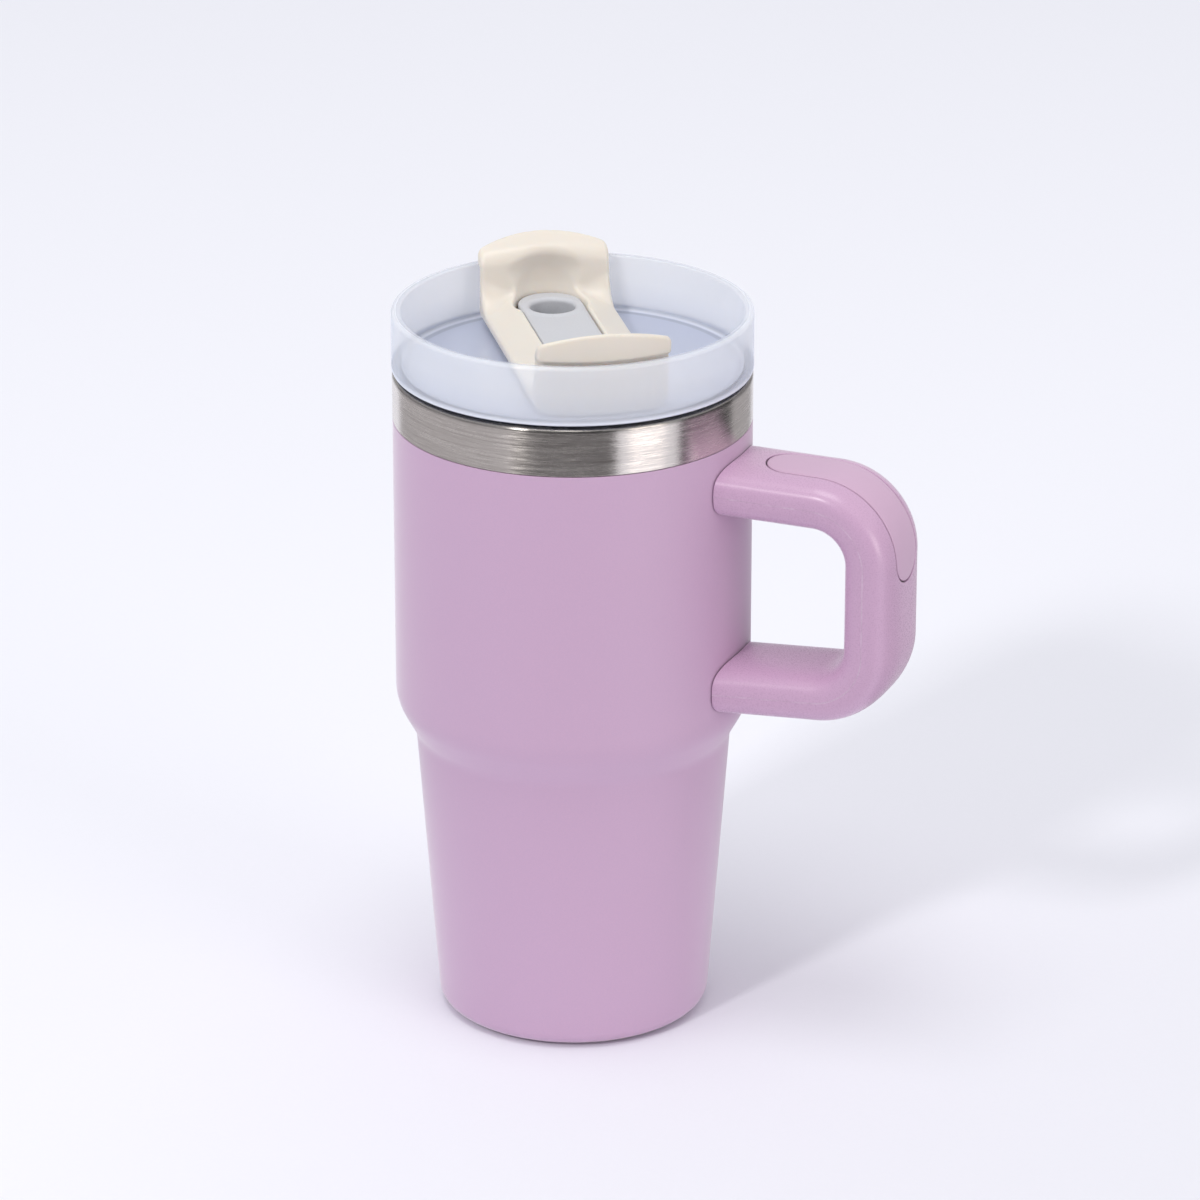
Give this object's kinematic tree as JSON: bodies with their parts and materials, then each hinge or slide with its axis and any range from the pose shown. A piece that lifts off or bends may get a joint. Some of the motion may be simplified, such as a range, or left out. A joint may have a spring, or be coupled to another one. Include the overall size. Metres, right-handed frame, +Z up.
{
  "type": "insulated tumbler with lid",
  "caption": "Double-walled steel tumbler with a side handle, a narrow foot for a cup holder, and a push-fit lid with a turning straw cover.",
  "frame": {"origin": "middle of the base plate's underside, on the plane that the tumbler stands on", "axes": "+Z up along the cup's axis, +X towards the handle, +Y to the left of the handle"},
  "size_m": [0.1328, 0.089, 0.1917],
  "materials": {
    "powder_coat": "fine lilac powder coat, satin",
    "moulded_handle": "lilac, satin",
    "soft_inlay": "lilac, soft matt",
    "steel": "brushed round the axis",
    "solder_glass": "dark, glossy",
    "getter_metal": "dull sintered pill",
    "milky_lid": "milky, see-through, glossy",
    "cream_plastic": "cream, half gloss",
    "grey_silicone": "light grey, satin"
  },
  "bodies": {
    "cup": {"outer_shell": "powder_coat", "inner_liner": "steel", "vacuum_bottom": "steel", "glass_seal": "solder_glass", "getter": "getter_metal", "getter_clip": "steel", "base_cover": "steel", "handle_outer_half": "moulded_handle", "handle_inner_half": "moulded_handle", "grip_pad": "soft_inlay", "upper_bracket": "steel", "lower_bracket": "steel", "upper_screw": "steel", "lower_screw": "steel", "lower_screw_plug": "soft_inlay"},
    "lid": {"lid_body": "milky_lid", "lid_gasket": "grey_silicone"},
    "cover": {"rotating_cover": "cream_plastic", "straw_seal": "grey_silicone", "pivot_o_ring": "grey_silicone", "pivot_retainer": "cream_plastic", "pivot_screw": "steel"}
  },
  "joints": [
    {"name": "lid_lift", "type": "slide", "parent": "cup", "child": "lid", "axis": [0, 0, 1], "range_m": [0, 0.1]},
    {"name": "cover_turn", "type": "hinge", "parent": "lid", "child": "cover", "pos_m": [0, 0, 0.17], "axis": [0, 0, 1], "range_deg": [0, 180]}
  ]
}
